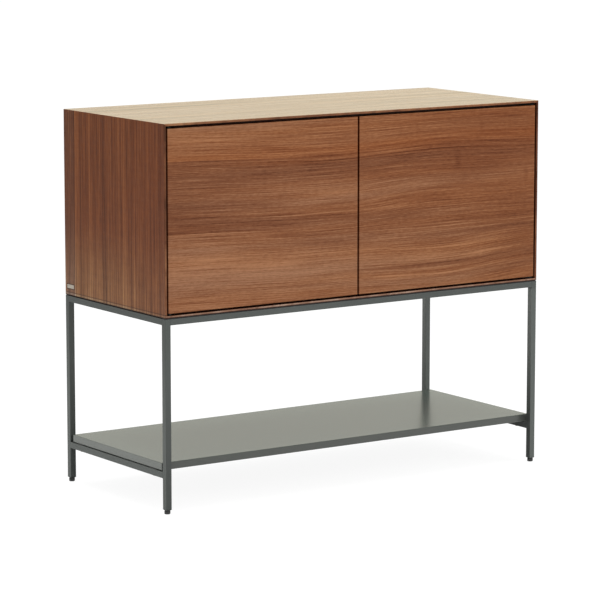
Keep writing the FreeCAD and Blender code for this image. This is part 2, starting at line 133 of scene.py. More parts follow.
class StudioSettings(bpy.types.PropertyGroup):
    """Camera and light of the plain studio."""

    focal_length: bpy.props.FloatProperty(
        name="Focal length", description="Lens of the camera, in millimetres", min=10.0, max=500.0, default=184.93,
    )
    camera_place: bpy.props.FloatVectorProperty(
        name="Camera place", description="Where the camera stands", subtype="TRANSLATION", unit="LENGTH",
        size=3, default=(-4.1490, -6.0880, 1.5586),
    )
    heading: bpy.props.FloatProperty(
        name="Heading", description="How far the camera looks to the right of straight back", subtype="ANGLE",
        default=math.radians(34.189),
    )
    tilt: bpy.props.FloatProperty(
        name="Tilt", description="How far the camera looks down", subtype="ANGLE", default=math.radians(8.775),
    )
    sky_strength: bpy.props.FloatProperty(
        name="Sky strength", description="Light from all round", min=0.0, max=5.0, default=0.82,
    )
    mirrored_sky: bpy.props.FloatVectorProperty(
        name="Mirrored sky", description="Colour of the sky that the level surfaces mirror", subtype="COLOR",
        size=3, min=0.0, max=1.0, default=(1.0, 0.99, 0.88),
    )
    key_power: bpy.props.FloatProperty(
        name="Key power", description="Power of the soft lamp in front", subtype="POWER", min=0.0, default=60.0,
    )
    top_power: bpy.props.FloatProperty(
        name="Top power", description="Power of the soft lamp overhead", subtype="POWER", min=0.0, default=60.0,
    )


class FastenerSettings(bpy.types.PropertyGroup):
    """Recesses and threads of screws and bolts."""

    cross_arm: bpy.props.FloatProperty(
        name="Cross arm", description="Length of a cross recess from end to end", unit="LENGTH", default=0.0038,
    )
    cross_width: bpy.props.FloatProperty(
        name="Cross width", description="Width of a cross recess's arm", unit="LENGTH", default=0.0008,
    )
    recess_depth: bpy.props.FloatProperty(
        name="Recess depth", description="Depth of every recess", unit="LENGTH", default=0.0013,
    )
    socket_radius: bpy.props.FloatProperty(
        name="Socket radius", description="Radius of a bolt's six-sided socket over its corners", unit="LENGTH",
        default=0.0019,
    )
    thread_pitch: bpy.props.FloatProperty(
        name="Thread pitch", description="Distance from one ridge of a thread to the next", unit="LENGTH",
        default=0.0014,
    )
    thread_depth: bpy.props.FloatProperty(
        name="Thread depth", description="Depth of a thread between its ridges", unit="LENGTH", default=0.0004,
    )


class TagSettings(bpy.types.PropertyGroup):
    """The small blank tag low on the left side."""

    length: bpy.props.FloatProperty(name="Length", description="Length of the tag", unit="LENGTH", default=0.031)
    height: bpy.props.FloatProperty(name="Height", description="Height of the tag", unit="LENGTH", default=0.009)
    thickness: bpy.props.FloatProperty(
        name="Thickness", description="Thickness of the tag", unit="LENGTH", default=0.00012,
    )
    from_back: bpy.props.FloatProperty(
        name="From the back", description="Gap between the tag and the case's back edge", unit="LENGTH",
        default=0.009,
    )
    from_bottom: bpy.props.FloatProperty(
        name="From the bottom", description="Gap between the tag and the case's lower edge", unit="LENGTH",
        default=0.0165,
    )
    corner: bpy.props.FloatProperty(
        name="Corner", description="Radius of the tag's corners", unit="LENGTH", default=0.001,
    )


def add_node(tree, kind, inputs=None, **settings):
    """A shader node, with its settings, and its inputs set or linked."""
    made = tree.nodes.new(kind)
    for name, value in settings.items():
        setattr(made, name, value)
    for key, value in (inputs or {}).items():
        if isinstance(value, bpy.types.NodeSocket):
            tree.links.new(value, made.inputs[key])
        else:
            made.inputs[key].default_value = value
    return made


def maths(tree, operation, first, second=0.0, third=0.0):
    """The result of a math node."""
    inputs = {0: first, 1: second, 2: third}
    return add_node(tree, "ShaderNodeMath", inputs, operation=operation).outputs[0]


def weigh(tree, value, amount, offset=0.0):
    """Value times amount plus offset."""
    return maths(tree, "MULTIPLY_ADD", value, amount, offset)


def about_zero(tree, value, amount):
    """Noise about 0.5, made to swing about zero by an amount."""
    return weigh(tree, value, amount, -amount / 2)


def sum_of(tree, *values):
    """The sum of several values."""
    return reduce(lambda total, value: maths(tree, "ADD", total, value), values)


def product(tree, *values):
    """The product of several values."""
    return reduce(lambda total, value: maths(tree, "MULTIPLY", total, value), values)


def split_axes(tree, vector):
    """The three values of a vector."""
    return add_node(tree, "ShaderNodeSeparateXYZ", {0: vector}).outputs


def stretch(tree, place, scale):
    """A place scaled along each of the three axes."""
    return add_node(tree, "ShaderNodeMapping", {"Vector": place, "Scale": scale}).outputs[0]


def noise(tree, vector, detail=2.0, roughness=0.5):
    """Smooth noise about 0.5, at the vector's own scale."""
    inputs = {"Vector": vector, "Scale": 1.0, "Detail": detail, "Roughness": roughness}
    return add_node(tree, "ShaderNodeTexNoise", inputs).outputs[0]


def spread(tree, value, low, high, start=0.0, end=1.0, kind="LINEAR"):
    """Value carried from one range to another, held at its ends."""
    inputs = {0: value, 1: low, 2: high, 3: start, 4: end}
    return add_node(tree, "ShaderNodeMapRange", inputs, interpolation_type=kind).outputs[0]


def ease(tree, value, low, high, start=0.0, end=1.0):
    """Value carried from one range to another, slowly at both ends."""
    return spread(tree, value, low, high, start, end, "SMOOTHSTEP")


def distance(tree, value, centre):
    """How far a value is from a centre."""
    return maths(tree, "ABSOLUTE", weigh(tree, value, 1.0, -centre))


def hump(tree, value, centre, reach):
    """One at the centre, falling smoothly to zero at the reach."""
    return ease(tree, distance(tree, value, centre), 0.0, reach, 1.0, 0.0)


def blend_values(tree, amount, first, second):
    """Two values mixed."""
    return add_node(tree, "ShaderNodeMix", {0: amount, 2: first, 3: second}, data_type="FLOAT").outputs[0]


def ramp(tree, value, stops):
    """A colour ramp from (place, colour) pairs; a colour may be one grey value."""
    made = add_node(tree, "ShaderNodeValToRGB", {0: value})
    elements = made.color_ramp.elements
    while len(elements) > 1:
        elements.remove(elements[-1])
    for index, (place, colour) in enumerate(stops):
        element = elements[0] if index == 0 else elements.new(place)
        element.position = place
        channels = (colour,) * 3 if isinstance(colour, float) else colour
        element.color = (*channels, 1.0)
    return made.outputs[0]


def blend_colours(tree, amount, first, second, kind="MIX"):
    """Two colours mixed; a plain colour is three numbers."""
    inputs = {0: amount}
    for key, colour in ((6, first), (7, second)):
        inputs[key] = colour if isinstance(colour, bpy.types.NodeSocket) else (*colour, 1.0)
    return add_node(tree, "ShaderNodeMix", inputs, data_type="RGBA", blend_type=kind).outputs[2]


def multiply_colours(tree, *colours):
    """Several colours multiplied."""
    return reduce(lambda total, colour: blend_colours(tree, 1.0, total, colour, "MULTIPLY"), colours)


def dim(tree, colour, amount):
    """A colour times a value."""
    return add_node(tree, "ShaderNodeVectorMath", {0: colour, "Scale": amount}, operation="SCALE").outputs[0]


def times(colour, amount):
    """A plain colour times a number."""
    return tuple(channel * amount for channel in colour)


def new_material(name):
    """An empty material, its tree, its shader and the place on the object that its patterns read."""
    material = bpy.data.materials.new(name)
    material.use_nodes = True
    tree = material.node_tree
    tree.nodes.clear()
    shader = add_node(tree, "ShaderNodeBsdfPrincipled")
    add_node(tree, "ShaderNodeOutputMaterial", {"Surface": shader.outputs[0]})
    place = add_node(tree, "ShaderNodeTexCoord").outputs["Object"]
    return material, tree, shader, place


def bump(tree, shader, height, depth):
    """Links a height to the shader's normal; a height of one stands for the depth."""
    normal = add_node(tree, "ShaderNodeBump", {"Height": height, "Distance": depth, "Strength": 1.0}).outputs[0]
    tree.links.new(normal, shader.inputs["Normal"])


def grain_noise(tree, along, across, length, fineness, seed=0.0, detail=2.0, roughness=0.5):
    """Noise that changes so many times per metre along the grain and across it."""
    inputs = {"X": weigh(tree, along, length, seed), "Y": weigh(tree, across, fineness)}
    return noise(tree, add_node(tree, "ShaderNodeCombineXYZ", inputs).outputs[0], detail, roughness)


def grain_lines(tree, along, across, seed, wave, ripple):
    """The place across the grain, bent into long waves and short ripples."""
    slow = about_zero(tree, grain_noise(tree, along, across, 1.7, 5.0, seed, 1.0), wave)
    quick = about_zero(tree, grain_noise(tree, along, across, 7.5, 24.0, seed), ripple)
    return sum_of(tree, across, slow, quick)


# amounts of broad bands, streaks, fibres, hairs and short flecks
PLAIN_GRAIN = (0.14, 0.24, 1.00, 1.30, 0.45)
TOP_GRAIN = (0.85, 0.80, 0.90, 1.20, 0.45)
SIDE_GRAIN = (0.18, 0.95, 1.32, 1.42, 0.45)
DOOR_GRAIN = (0.16, 0.20, 0.80, 1.40, 0.60)


def grain_tone(tree, along, line, seed, amounts, hair_run=12.0):
    """Grain about zero: bands, streaks, fibres, hairs and flecks, all drawn out along the grain."""
    # changes per metre along the grain and across it
    runs = ((0.8, 34.0), (1.6, 150.0), (3.4, 400.0), (hair_run, 820.0), (70.0, 380.0))
    layers = []
    for amount, (length, fineness) in zip(amounts, runs):
        layers.append(about_zero(tree, grain_noise(tree, along, line, length, fineness, seed, 2.0, 0.6), amount))
    return sum_of(tree, *layers)


def pores(tree, along, line, seed):
    """Short dark pores, one where open and zero between."""
    return spread(tree, grain_noise(tree, along, line, 55.0, 2300.0, seed, 1.0), 0.60, 0.70)


def finish_veneer(tree, shader, tone, pore, tint, gloss=0.2, roughness=None):
    """Colour, gloss and pores of lacquered walnut, from a tone about 0.5; a roughness of its own may be linked."""
    veneer = bpy.context.scene.sideboard_veneer
    roughness = veneer.roughness if roughness is None else roughness
    stops = (
        (0.0, times(veneer.dark_tone, 0.55)), (0.22, veneer.dark_tone), (0.52, veneer.middle_tone),
        (0.82, veneer.light_tone), (1.0, times(veneer.light_tone, 1.2)),
    )
    colour = multiply_colours(tree, ramp(tree, tone, stops), tint)
    colour = blend_colours(tree, weigh(tree, pore, 0.34), colour, times(veneer.dark_tone, 0.4))
    tree.links.new(colour, shader.inputs["Base Color"])
    shader.inputs["Specular IOR Level"].default_value = gloss
    tree.links.new(weigh(tree, pore, 0.12, roughness), shader.inputs["Roughness"])
    bump(tree, shader, weigh(tree, pore, -1.0), veneer.pore_depth)


# places on the doors: how far in from the case's left side, and how deep below its top
DOOR_SEAMS = (
    # start and end of the seam's depth where it is sharp, at the left, and where it is soft, at the right
    ((0.0855, 0.0870), (0.070, 0.105)),
    ((0.2510, 0.2525), (0.150, 0.330)),
)

DOOR_STREAKS = (
    # depth, half thickness, tone, left end, right end
    (0.0240, 0.0060, -0.05, 0.560, 1.100),
    (0.0560, 0.0022, -0.08, -0.100, 0.300),
    (0.0640, 0.0020, -0.06, 0.040, 0.360),
    (0.0790, 0.0018, 0.09, 0.200, 0.460),
    (0.0870, 0.0018, -0.15, 0.140, 1.200),
    (0.0925, 0.0014, 0.08, 0.180, 0.760),
    (0.0970, 0.0018, -0.17, 0.170, 1.200),
    (0.1030, 0.0016, -0.10, 0.060, 0.900),
    (0.1480, 0.0022, -0.10, 0.640, 1.200),
    (0.1840, 0.0030, -0.09, -0.100, 0.280),
    (0.2110, 0.0016, 0.13, 0.060, 0.420),
    (0.2210, 0.0016, 0.16, 0.180, 0.720),
    (0.2340, 0.0070, -0.06, 0.100, 0.620),
    (0.2500, 0.0028, -0.08, -0.100, 0.260),
    (0.2540, 0.0016, 0.14, -0.100, 0.300),
    (0.2690, 0.0024, -0.09, 0.020, 0.560),
    (0.2830, 0.0018, 0.12, 0.560, 1.200),
    (0.2640, 0.0034, -0.08, 0.560, 1.200),
    (0.2980, 0.0030, -0.07, 0.160, 0.640),
    (0.3130, 0.0018, 0.10, -0.100, 0.720),
    (0.3220, 0.0020, -0.08, 0.500, 1.100),
    (0.3370, 0.0018, -0.07, 0.100, 0.460),
    (0.3480, 0.0018, 0.10, 0.530, 1.000),
    (0.3600, 0.0022, -0.11, 0.360, 1.000),
    (0.3720, 0.0034, -0.15, 0.620, 1.200),
    (0.3850, 0.0022, -0.08, 0.060, 0.480),
    (0.4020, 0.0022, -0.09, 0.300, 0.900),
    (0.4180, 0.0040, 0.11, 0.760, 1.060),
    (0.2740, 0.0016, 0.13, 0.540, 1.200),
    (0.2900, 0.0018, -0.13, 0.600, 1.200),
    (0.3180, 0.0055, 0.14, 0.660, 1.000),
    (0.3420, 0.0024, 0.17, 0.560, 1.050),
    (0.3560, 0.0030, -0.20, 0.600, 1.040),
    (0.3790, 0.0024, 0.16, 0.540, 0.900),
    (0.3890, 0.0022, -0.12, 0.620, 1.120),
    (0.4050, 0.0026, -0.12, 0.540, 0.760),
)

DOOR_SMUDGES = (
    # middle from the left, depth, half width, half height, tone
    (0.8250, 0.1280, 0.0160, 0.0400, -0.11),
    (0.8450, 0.1720, 0.0150, 0.0260, -0.08),
    (1.0350, 0.1750, 0.0120, 0.0320, -0.12),
    (0.7050, 0.0420, 0.0080, 0.0300, -0.07),
    (0.8960, 0.0400, 0.0080, 0.0360, -0.07),
    (0.2700, 0.0640, 0.1400, 0.0300, -0.09),
    (0.6200, 0.0300, 0.1200, 0.0300, -0.05),
    (0.0600, 0.2150, 0.1600, 0.0500, -0.08),
    (1.0200, 0.1600, 0.1600, 0.0700, 0.11),
    (1.0200, 0.3360, 0.1400, 0.0500, -0.09),
)


def door_flow(tree, left, depth):
    """How far below its left end each grain line lies: a fall, an arch, a rise and a sag, from left to right."""
    low = ease(tree, depth, 0.25, 0.36)
    fall = ease(tree, left, -0.05, 0.42, 0.0, 0.011)
    parts = (
        ((hump(tree, left, 0.78, 0.32), hump(tree, depth, 0.09, 0.09)), -0.008),
        ((ease(tree, left, 0.50, 0.76), hump(tree, depth, 0.20, 0.09)), -0.014),
        ((hump(tree, left, 0.76, 0.34), low), 0.009),
        ((ease(tree, left, 0.80, 1.08), low), -0.009),
    )
    return sum_of(tree, fall, *(weigh(tree, product(tree, *factors), drop) for factors, drop in parts))


def door_seams(tree, left, bent):
    """For each of the two seams, zero over it and one under it; a seam grows soft towards the right."""
    fade = spread(tree, left, 0.14, 0.42)
    return [
        blend_values(tree, fade, spread(tree, bent, *sharp), spread(tree, bent, *soft)) for sharp, soft in DOOR_SEAMS
    ]


def door_strips(tree, left, bent, upper_seam, lower_seam):
    """Tone of the three strips of veneer, each changing from left to right."""
    right = ease(tree, left, 0.20, 0.95)
    top_strip = blend_values(tree, right, 0.66, 0.51)
    middle_left = sum_of(tree, spread(tree, bent, 0.12, 0.16, 0.41, 0.45), spread(tree, bent, 0.17, 0.24, 0.0, -0.07))
    middle_right = spread(tree, bent, 0.12, 0.18, 0.34, 0.52)
    heart = product(tree, hump(tree, bent, 0.178, 0.055), hump(tree, left, 0.48, 0.46))
    middle_strip = sum_of(tree, blend_values(tree, right, middle_left, middle_right), weigh(tree, heart, 0.26))
    low_left = sum_of(tree, spread(tree, bent, 0.26, 0.33, 0.58, 0.76), spread(tree, bent, 0.35, 0.42, 0.0, -0.16))
    low_right = sum_of(tree, spread(tree, bent, 0.26, 0.34, 0.44, 0.60), spread(tree, left, 0.86, 1.0, 0.0, -0.10))
    low_strip = blend_values(tree, right, low_left, low_right)
    return blend_values(tree, lower_seam, blend_values(tree, upper_seam, top_strip, middle_strip), low_strip)


def door_marks(tree, left, bent):
    """The single streaks and the smudges, as values to add to the tone."""
    marks = []
    for depth, half, amount, start, end in DOOR_STREAKS:
        reach = (end - start) / 2
        window = spread(tree, distance(tree, left, (start + end) / 2), reach * 0.55, reach, amount * 1.25, 0.0)
        marks.append(product(tree, hump(tree, bent, depth, half * 1.5), window))
    for across, depth, half_width, half_height, amount in DOOR_SMUDGES:
        mark = product(tree, hump(tree, left, across, half_width), hump(tree, bent, depth, half_height))
        marks.append(weigh(tree, mark, amount))
    return marks


def door_tint(tree, x, y, left, bent, upper_seam, lower_seam):
    """Colour shifts of the doors' veneer, with painted shade on the edges that line the gaps."""
    warm = grain_noise(tree, x, bent, 1.4, 30.0, 7.0)
    tint = ramp(tree, warm, ((0.35, (0.97, 0.99, 1.05)), (0.65, (1.04, 0.99, 0.93))))
    toward_right = spread(tree, left, 0.10, 0.95)
    strips = blend_colours(tree, spread(tree, bent, 0.030, 0.060), (1.02, 0.98, 0.91), (1.02, 0.91, 0.77))
    strips = blend_colours(tree, upper_seam, strips, WHITE)
    strips = blend_colours(tree, product(tree, lower_seam, toward_right), strips, (1.03, 1.09, 1.12))
    ends = blend_colours(tree, toward_right, (1.03, 1.10, 1.24), (0.93, 0.91, 0.91))
    # Painted shade: a dark tint on the door edges inside the gaps, where shade falls.
    behind = spread(tree, y, FRONT + 0.0010, FRONT + 0.0020)
    before = spread(tree, y, FRONT + 0.0180, FRONT + 0.0185, 1.0, 0.0)
    gap_edge_shade = (0.40, 0.20, 0.14)
    return blend_colours(tree, product(tree, behind, before), multiply_colours(tree, tint, strips, ends), gap_edge_shade)


def door_veneer():
    """One leaf of veneer that runs level across both doors: three strips, single streaks and fine grain."""
    material, tree, shader, place = new_material("door_walnut")
    x, y, z = split_axes(tree, place)
    left = weigh(tree, x, 1.0, CASE_WIDTH / 2)
    depth = weigh(tree, z, -1.0, CASE_TOP)
    bent = maths(tree, "SUBTRACT", depth, door_flow(tree, left, depth))
    waves = maths(tree, "SUBTRACT", grain_lines(tree, x, bent, 3.0, 0.009, 0.0016), bent)
    bent = sum_of(tree, bent, product(tree, waves, spread(tree, left, 0.10, 0.45)))
    seams = door_seams(tree, left, bent)
    grain = grain_tone(tree, x, bent, 11.0, DOOR_GRAIN, hair_run=6.0)
    cloud = about_zero(tree, grain_noise(tree, x, bent, 5.0, 17.0, 2.0), 0.10)
    tone = sum_of(tree, door_strips(tree, left, bent, *seams), *door_marks(tree, left, bent), grain, cloud)
    finish_veneer(tree, shader, tone, pores(tree, x, bent, 5.0), door_tint(tree, x, y, left, bent, *seams), 0.1)
    return material


def painted_gap_shade(tree, axes):
    """White on the case's outside, painted shade on the faces that line the gap round the doors."""
    x, y, z = axes
    deep = spread(tree, y, FRONT + 0.0015, FRONT + 0.0030)
    front_part = spread(tree, y, FRONT + 0.0240, FRONT + 0.0250, 1.0, 0.0)
    from_side = weigh(tree, maths(tree, "ABSOLUTE", x), -1.0, CASE_WIDTH / 2)
    from_top = weigh(tree, z, -1.0, CASE_TOP)
    from_bottom = weigh(tree, z, 1.0, -CASE_BOTTOM)
    nearest = maths(tree, "MINIMUM", maths(tree, "MINIMUM", from_side, from_top), from_bottom)
    # Painted shade: a dark tint on the faces inside the gap, where shade falls.
    gap_shade_mask = product(tree, deep, front_part, spread(tree, nearest, 0.0020, 0.0035))
    return blend_colours(tree, gap_shade_mask, WHITE, (0.20, 0.09, 0.06))


def lower_edge(tree, axes):
    """Painted light and shade on the case's lower edge from outside: a painted highlight on the lip, a painted shade
    line over it and a painted shadow line under it.
    """
    x, y, z = axes
    height = weigh(tree, z, 1.0, -CASE_BOTTOM)
    # Painted highlight: the lowest 6 mm grow paler.
    tint = blend_colours(tree, spread(tree, height, 0.0060, 0.0054), WHITE, (1.12, 1.48, 2.00))
    # Painted shade: a dark line over the lip.
    seam = hump(tree, height, 0.0074, 0.0020)
    tint = blend_colours(tree, weigh(tree, seam, 0.8), tint, (0.30, 0.27, 0.27))
    # Painted shadow: a dark line along the lowest 2 mm, above the frame.
    tint = blend_colours(tree, spread(tree, height, 0.0020, 0.0015), tint, (0.16, 0.11, 0.08))
    side = spread(tree, maths(tree, "ABSOLUTE", x), CASE_WIDTH / 2 - 0.0008, CASE_WIDTH / 2 - 0.0005)
    outside = maths(tree, "MAXIMUM", side, spread(tree, y, FRONT + 0.0008, FRONT + 0.0005))
    return blend_colours(tree, outside, WHITE, tint)


def board_veneer(name, grain_axis, across_axis, seed, level=0.45, tint=(0.97, 1.05, 1.15)):
    """Veneer on a case board: plain straight grain."""
    material, tree, shader, place = new_material(name)
    axes = split_axes(tree, place)
    along, across = axes[grain_axis], axes[across_axis]
    line = grain_lines(tree, along, across, seed, 0.010, 0.003)
    tone = sum_of(tree, grain_tone(tree, along, line, seed + 9.0, PLAIN_GRAIN), level)
    # Painted shade in the gap and painted light and shade along the lower edge.
    tint = multiply_colours(tree, painted_gap_shade(tree, axes), tint, lower_edge(tree, axes))
    finish_veneer(tree, shader, tone, pores(tree, along, line, seed + 4.0), tint)
    return material


def top_veneer():
    """Smoother veneer of the top board, pale at a low angle; its top face is lighter than its front edge and
    underside, partly a paler veneer and partly painted light from above.
    """
    veneer = bpy.context.scene.sideboard_veneer
    material, tree, shader, place = new_material("top_walnut")
    x, y, z = axes = split_axes(tree, place)
    line = grain_lines(tree, x, y, 31.0, 0.010, 0.003)
    broad = grain_noise(tree, x, line, 1.1, 60.0, 2.0, 3.0, 0.7)
    # Partly painted light: the top face takes a lighter tone and the top tint; the front edge and underside take the
    # painted shade of the gap.
    outer = spread(tree, z, CASE_TOP - 0.0012, CASE_TOP - 0.0009)
    tone = sum_of(tree, grain_tone(tree, x, line, 40.0, TOP_GRAIN), blend_values(tree, outer, 0.36, 0.74))
    streaks = ramp(tree, broad, ((0.30, times(veneer.top_tint, 0.62)), (0.70, times(veneer.top_tint, 1.38))))
    tint = blend_colours(tree, outer, painted_gap_shade(tree, axes), streaks)
    shader.inputs["Sheen Weight"].default_value = 0.27
    shader.inputs["Sheen Roughness"].default_value = 0.5
    shader.inputs["Sheen Tint"].default_value = (*veneer.top_haze, 1.0)
    finish_veneer(tree, shader, tone, pores(tree, x, line, 35.0), tint, 0.25, weigh(tree, broad, -0.5, 0.55))
    return material


SIDE_STRIPES = (
    # place from back (0) to front (1), tone
    (0.0, 0.22), (0.095, 0.24), (0.102, 0.12), (0.112, 0.40), (0.150, 0.36), (0.165, 0.22), (0.21, 0.22),
    (0.26, 0.36), (0.30, 0.34), (0.36, 0.24), (0.43, 0.20), (0.52, 0.22), (0.55, 0.38), (0.62, 0.36),
    (0.655, 0.30), (0.70, 0.26), (0.80, 0.33), (0.86, 0.30), (0.93, 0.24), (1.0, 0.28),
)


def tag_centre():
    """The middle of the tag's outer face."""
    tag = bpy.context.scene.sideboard_tag
    return Vector((LEFT, BACK - tag.from_back - tag.length / 2, CASE_BOTTOM + tag.from_bottom + tag.height / 2))


def tag_shadow(tree, axes):
    """Painted shadow round the tag on the left side: strongest in a narrow line round it, zero beyond it."""
    tag = bpy.context.scene.sideboard_tag
    centre = tag_centre()
    beyond = []
    for axis, size in ((ALONG_Y, tag.length), (ALONG_Z, tag.height)):
        beyond.append(weigh(tree, distance(tree, axes[axis], centre[axis]), 1.0, -size / 2))
    rim = spread(tree, maths(tree, "MAXIMUM", *beyond), 0.0008, 0.0032, 0.9, 0.0)
    return product(tree, rim, spread(tree, axes["X"], 0.1, -0.1))


def side_tint(tree, axes):
    """Colour shifts of the case's sides: paler low down as painted light from the floor, cooler at the back, the left
    side warmer than the right as painted shade, and a cooler painted highlight on the left side's front edge with
    cooler painted shade on the right side's.
    """
    x, y, z = axes
    right = spread(tree, x, -0.1, 0.1)
    tint = blend_colours(tree, spread(tree, y, FRONT + 0.16, FRONT + 0.04), (0.98, 0.80, 0.565), (0.98, 0.76, 0.50))
    tint = blend_colours(tree, spread(tree, y, FRONT + 0.014, FRONT + 0.010), tint, (0.88, 0.70, 0.56))
    # Painted shade: the left side keeps a warmer, more saturated tint than the right.
    tint = blend_colours(tree, right, tint, (0.86, 0.84, 0.80))
    tint = blend_colours(tree, spread(tree, y, BACK - 0.050, BACK - 0.046), tint, (0.93, 0.90, 0.93))
    # Painted light from the floor: paler low down, more so towards the back.
    low = ease(tree, z, CASE_BOTTOM, CASE_BOTTOM + 0.20, 1.0, 0.0)
    toward_back = spread(tree, y, FRONT + 0.04, FRONT + 0.26)
    painted_floor_light = product(tree, low, weigh(tree, toward_back, 0.5, 0.5))
    tint = multiply_colours(tree, tint, blend_colours(tree, painted_floor_light, WHITE, (1.42, 2.15, 2.90)))
    # Painted highlight on the left side's front edge, painted shade on the right side's.
    front_edge_light_and_shade = blend_colours(tree, right, (1.00, 1.12, 1.22), (0.80, 0.84, 1.00))
    tint = blend_colours(tree, spread(tree, y, FRONT + 0.0005, FRONT + 0.0003), tint, front_edge_light_and_shade)
    # Painted light and shade along the lower edge, painted shade in the gap.
    tint = multiply_colours(tree, tint, lower_edge(tree, axes), painted_gap_shade(tree, axes))
    # Painted shadow round the tag.
    return blend_colours(tree, tag_shadow(tree, axes), tint, (0.20, 0.18, 0.17))


def side_veneer():
    """Upright, darker veneer of the case's two sides, striped from back to front."""
    material, tree, shader, place = new_material("side_walnut")
    axes = split_axes(tree, place)
    y, z = axes["Y"], axes["Z"]
    line = grain_lines(tree, z, y, 21.0, 0.006, 0.002)
    stripes = ramp(tree, spread(tree, line, BACK, FRONT), SIDE_STRIPES)
    grain = grain_tone(tree, maths(tree, "MULTIPLY", z, 0.45), line, 30.0, SIDE_GRAIN)
    figure = grain_noise(tree, z, y, 90.0, 14.0)
    tone = sum_of(tree, stripes, grain, weigh(tree, figure, 0.14, -0.05))
    finish_veneer(tree, shader, tone, pores(tree, z, line, 25.0), side_tint(tree, axes))
    return material


def painted_leg_light(tree, axes):
    """Painted light and shade on the frame: paler right legs, and faces that grow paler or darker towards the floor.
    """
    x, z = axes["X"], axes["Z"]
    under_case = spread(tree, z, CASE_BOTTOM - 0.018, CASE_BOTTOM - 0.024)
    right = product(tree, spread(tree, x, 0.30, 0.45), under_case)
    outer_face = spread(tree, x, LEFT + 0.0006, LEFT + 0.0002)
    outer = product(tree, outer_face, spread(tree, z, 0.40, 0.18, -0.10, 0.50))
    inner_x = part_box("front_right_leg")[0].x
    inner_face = spread(tree, x, inner_x + 0.0007, inner_x + 0.0003)
    inner = product(tree, inner_face, right, spread(tree, z, 0.10, 0.42, -0.65, 1.05))
    left = product(tree, spread(tree, x, 0.1, -0.1), spread(tree, z, 0.30, 0.10, 0.12, -0.16))
    return sum_of(tree, weigh(tree, right, 0.28, 1.0), outer, inner, left)


def painted_shelf_shade(tree, axes):
    """Painted shade: the shelf's front face is darker than its other edges."""
    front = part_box("lower_shelf")[0].y
    return spread(tree, axes["Y"], front + 0.0006, front + 0.0003, 1.0, 0.46)


def coat_material(name, colour, roughness, gloss, speckle, fineness, top_tint, top_level, painted_light_of):
    """A coated surface with a fine orange-peel grain, with painted shade above a height and painted light and shade
    from the function given last.
    """
    material, tree, shader, place = new_material(name)
    axes = split_axes(tree, place)
    peel = noise(tree, stretch(tree, place, (fineness,) * 3), 3.0, 0.6)
    cloud = noise(tree, stretch(tree, place, (4.0, 12.0, 9.0)), 3.0)
    shade = sum_of(tree, weigh(tree, peel, speckle, 1.0 - speckle / 2), about_zero(tree, cloud, 0.10))
    # Painted shade: faces above the height take the top tint.
    upper = spread(tree, axes["Z"], top_level - 0.0009, top_level - 0.0006)
    tinted = blend_colours(tree, upper, colour, [channel * tint for channel, tint in zip(colour, top_tint)])
    tone = dim(tree, tinted, product(tree, shade, painted_light_of(tree, axes)))
    tree.links.new(tone, shader.inputs["Base Color"])
    shader.inputs["Specular IOR Level"].default_value = gloss
    tree.links.new(weigh(tree, peel, 0.10, roughness - 0.05), shader.inputs["Roughness"])
    bump(tree, shader, peel, 0.00003)
    return material


def grained_material(name, colour, roughness, scale, detail, speckle, unevenness, relief, metallic=0.0):
    """A plain surface with a fine grain in its colour, its roughness and its height."""
    material, tree, shader, place = new_material(name)
    grain = noise(tree, stretch(tree, place, scale), detail)
    tone = dim(tree, colour, weigh(tree, grain, speckle, 1.0 - speckle / 2))
    tree.links.new(tone, shader.inputs["Base Color"])
    tree.links.new(weigh(tree, grain, unevenness, roughness - unevenness / 2), shader.inputs["Roughness"])
    shader.inputs["Metallic"].default_value = metallic
    bump(tree, shader, grain, relief)
    return material


def metal_material(name, colour, roughness, scratch_axis):
    """Plated steel with fine drawn lines."""
    scale = [900.0] * 3
    scale[scratch_axis] = 40.0
    return grained_material(name, colour, roughness, scale, 3.0, 0.16, 0.16, 0.00001, metallic=1.0)


def plastic_material(name, colour, roughness):
    """Moulded plastic with a fine spark-eroded grain."""
    return grained_material(name, colour, roughness, [1600.0] * 3, 2.0, 0.20, 0.14, 0.00002)


def dark_steel():
    """The dark plated steel of the hinges and their screws, made once."""
    made = bpy.data.materials.get("dark_steel")
    return made or metal_material("dark_steel", (0.035, 0.034, 0.033), 0.42, ALONG_X)


def paint(material, *names):
    """Gives a material to CAD nodes."""
    for name in names:
        for slot in NODES[name].material_slots:
            slot.material = material


def select_only(*pieces):
    """Selects these objects and nothing else."""
    bpy.ops.object.select_all(action="DESELECT")
    for piece in pieces:
        piece.select_set(True)
    bpy.context.view_layer.objects.active = pieces[-1]


def add_object(operator, **settings):
    """Adds an object with an operator of bpy.ops, with nothing else selected."""
    bpy.ops.object.select_all(action="DESELECT")
    operator(**settings)
    return bpy.context.object


def apply_place():
    """Moves place, turn and scale of what is selected into its mesh."""
    bpy.ops.object.transform_apply(location=True, rotation=True, scale=True)


def pick(piece, kind, wanted):
    """Enters edit mode with those faces or edges selected that wanted accepts."""
    bpy.ops.object.mode_set(mode="EDIT")
    bpy.ops.mesh.select_mode(type=kind)
    bpy.ops.mesh.select_all(action="DESELECT")
    bpy.ops.object.mode_set(mode="OBJECT")
    for part in piece.data.polygons if kind == "FACE" else piece.data.edges:
        part.select = wanted(part)
    bpy.ops.object.mode_set(mode="EDIT")


def faces_down(face):
    """Whether a face points down."""
    return face.normal.z < -0.9


def narrow(share):
    """In edit mode, scales the width of what is selected about its middle."""
    bpy.ops.transform.resize(value=(share, share, 1.0))


def combine(body, other, operation):
    """Cuts another object out of a body or joins it to the body, and takes the other one away."""
    change = body.modifiers.new("combine", "BOOLEAN")
    change.operation = operation
    change.object = other
    change.solver = "EXACT"
    select_only(body)
    bpy.ops.object.modifier_apply(modifier=change.name)
    bpy.data.objects.remove(other)


